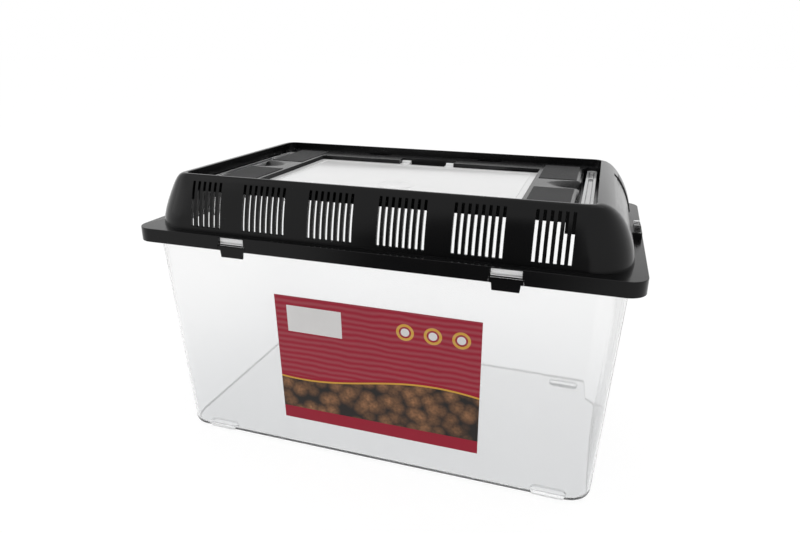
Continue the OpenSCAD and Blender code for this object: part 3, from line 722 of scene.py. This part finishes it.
class KEEPER_OT_latches(bpy.types.Operator):
    """Dress the six latch tabs"""

    bl_idname = "keeper.latches"
    bl_label = "Latch Tabs"

    # How far the lip lies behind the tab's outer face, below its top, and in from each side
    lip_back = 0.25 * MM
    lip_down = 0.2 * MM
    ear_wide = 3.3 * MM

    def execute(self, context):
        edge = context.scene.keeper_details.edge
        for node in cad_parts:
            if node.startswith("latch_"):
                moulded_copy(node, node + "_tab", node, [shell_plastic()],
                             edge / 2, self.add_lip)
        return {"FINISHED"}

    def add_lip(self, tab, low, high):
        """Adds the thin lip that closes the slot over the plate, between the ears"""
        details = bpy.context.scene.keeper_details
        middle, size = (low + high) / 2, high - low
        wide, deep = (0, 1) if size.x > size.y else (1, 0)
        outer, inward = (high, -1) if middle[deep] > 0 else (low, 1)
        middle[deep] = outer[deep] + inward * (self.lip_back + details.lip_thick / 2)
        middle.z = high.z - self.lip_down - details.lip_tall / 2
        size[wide] -= 2 * self.ear_wide
        size[deep] = details.lip_thick
        size.z = details.lip_tall
        bpy.ops.object.select_all(action="DESELECT")
        bpy.ops.mesh.primitive_cube_add(size=1, location=middle, scale=size)
        tab.select_set(True)
        bpy.context.view_layer.objects.active = tab
        bpy.ops.object.join()


# ---------- Stage ----------


def seen_rays(tree):
    """1 for the rays that show the background: camera, glossy and transmission"""
    path = add_node(tree, "LightPath").outputs
    total = path["Is Camera Ray"]
    for label in ("Is Glossy Ray", "Is Transmission Ray"):
        total = maths(tree, "ADD", total, path[label], clamp=True)
    return total


def pale_floor():
    """Matt white, and evenly bright where it shows as the background"""
    glow_share = 0.85
    material = bpy.data.materials.new("Pale Floor")
    tree = blank_tree(material)
    paint = add_node(tree, "BsdfDiffuse", {"Color": (0.9, 0.9, 0.9, 1)})
    glow = add_node(tree, "Emission", {"Color": WHITE, "Strength": 1.08})
    share = maths(tree, "MULTIPLY", seen_rays(tree), glow_share)
    show_mix(tree, "OutputMaterial", share, paint, glow)
    return material


def dark_card():
    """A faint glow, full in the card's middle and fading smoothly to nothing at its edges"""
    material = bpy.data.materials.new("Dark Card")
    tree = blank_tree(material)
    spot = add_node(tree, "TexCoord").outputs["Generated"]
    centred = add_node(tree, "Mapping", {"Vector": spot, "Location": (-1, -1, 0), "Scale": (2, 2, 0)})
    fall = add_node(tree, "TexGradient", {"Vector": centred.outputs["Vector"]},
                    gradient_type="SPHERICAL")
    fade = add_node(tree, "MapRange", {"Value": fall.outputs["Fac"], "From Max": 0.35},
                    interpolation_type="SMOOTHSTEP")
    glow = add_node(tree, "Emission", {"Color": WHITE, "Strength": 0.12})
    show_mix(tree, "OutputMaterial", fade.outputs["Result"], add_node(tree, "BsdfTransparent"), glow)
    return material


def world_light(strength):
    """Even light all round, which shows as white"""
    world = bpy.data.worlds.new("Studio")
    bpy.context.scene.world = world
    tree = blank_tree(world)
    soft = add_node(tree, "Background", {"Color": WHITE, "Strength": strength})
    white = add_node(tree, "Background", {"Color": WHITE, "Strength": 1})
    show_mix(tree, "OutputWorld", seen_rays(tree), soft, white)


class KEEPER_OT_stage(bpy.types.Operator):
    """Set the floor, the light and the camera"""

    bl_idname = "keeper.stage"
    bl_label = "Stage"

    # Side of the floor in metres
    floor_size = 30
    # Width of the camera's sensor in millimetres
    sensor = 36

    def execute(self, context):
        stage = context.scene.keeper_stage
        self.floor()
        self.card(stage)
        self.lamp("key_lamp", stage.key, spot=(0.1, 0.15, 1.7), aim=(0, 0, 0.1), size=2.2)
        self.lamp("fill_lamp", stage.fill, spot=(-1.6, -0.9, 0.9), aim=(0, 0, 0.12), size=1.4)
        world_light(stage.sky)
        self.camera(stage)
        context.scene.view_settings.view_transform = "Standard"
        return {"FINISHED"}

    def floor(self):
        bpy.ops.object.select_all(action="DESELECT")
        bpy.ops.mesh.primitive_plane_add(size=self.floor_size)
        floor = bpy.context.object
        floor.name = "floor"
        floor.data.materials.append(pale_floor())

    def card(self, stage):
        """A dark card in front, which shows in reflections alone"""
        bpy.ops.object.select_all(action="DESELECT")
        bpy.ops.mesh.primitive_plane_add(size=1, location=stage.card_place,
                                         rotation=(stage.card_tilt, 0, 0))
        card = bpy.context.object
        card.name = "dark_card"
        card.scale = (*stage.card_size, 1)
        bpy.ops.object.transform_apply(location=True, rotation=True, scale=True)
        card.data.materials.append(dark_card())
        card.visible_camera = False
        card.visible_diffuse = False
        card.visible_transmission = False
        card.visible_shadow = False

    def lamp(self, name, power, spot, aim, size):
        bpy.ops.object.light_add(type="AREA", location=spot)
        lamp = bpy.context.object
        lamp.name = name
        lamp.data.size = size
        lamp.data.energy = power
        lamp.rotation_euler = (Vector(spot) - Vector(aim)).to_track_quat("Z", "Y").to_euler()

    def camera(self, stage):
        yaw, pitch, roll = stage.camera_turn
        ahead = Vector((-sin(yaw) * cos(pitch), cos(yaw) * cos(pitch), sin(pitch)))
        right = Vector((cos(yaw), sin(yaw), 0))
        up = right.cross(ahead)
        right, up = cos(roll) * right + sin(roll) * up, cos(roll) * up - sin(roll) * right
        bpy.ops.object.camera_add(location=stage.camera_place)
        camera = bpy.context.object
        camera.rotation_euler = Matrix((right, up, -ahead)).transposed().to_euler()
        camera.data.sensor_fit = "HORIZONTAL"
        camera.data.sensor_width = self.sensor
        camera.data.lens = stage.focal
        bpy.context.scene.camera = camera


# ---------- Panel ----------

SETTINGS = {
    "keeper_plastics": KeeperPlastics, "keeper_details": KeeperDetails,
    "keeper_label": KeeperLabel, "keeper_stage": KeeperStage,
}
STEPS = ("tub", "label", "lid_shell", "deck", "hatch", "handles", "latches", "stage")


class KEEPER_PT_pieces(bpy.types.Panel):
    """Every setting and step of the keeper"""

    bl_idname = "KEEPER_PT_pieces"
    bl_label = "Pet Keeper"
    bl_space_type = "VIEW_3D"
    bl_region_type = "UI"
    bl_category = "Keeper"

    def draw(self, context):
        for group in SETTINGS:
            settings = getattr(context.scene, group)
            box = self.layout.box()
            for key in settings.bl_rna.properties.keys():
                if key not in ("rna_type", "name"):
                    box.prop(settings, key)
        for step in STEPS:
            self.layout.operator("keeper." + step)


CLASSES = (
    *SETTINGS.values(), KEEPER_OT_tub, KEEPER_OT_label, KEEPER_OT_lid_shell, KEEPER_OT_deck,
    KEEPER_OT_hatch, KEEPER_OT_handles, KEEPER_OT_latches, KEEPER_OT_stage, KEEPER_PT_pieces,
)


def register():
    for item in CLASSES:
        bpy.utils.register_class(item)
    for name, group in SETTINGS.items():
        setattr(bpy.types.Scene, name, bpy.props.PointerProperty(type=group))


def unregister():
    for name in SETTINGS:
        delattr(bpy.types.Scene, name)
    for item in reversed(CLASSES):
        bpy.utils.unregister_class(item)


def main():
    register()
    for step in STEPS:
        getattr(bpy.ops.keeper, step)()


if __name__ == "__main__":
    main()
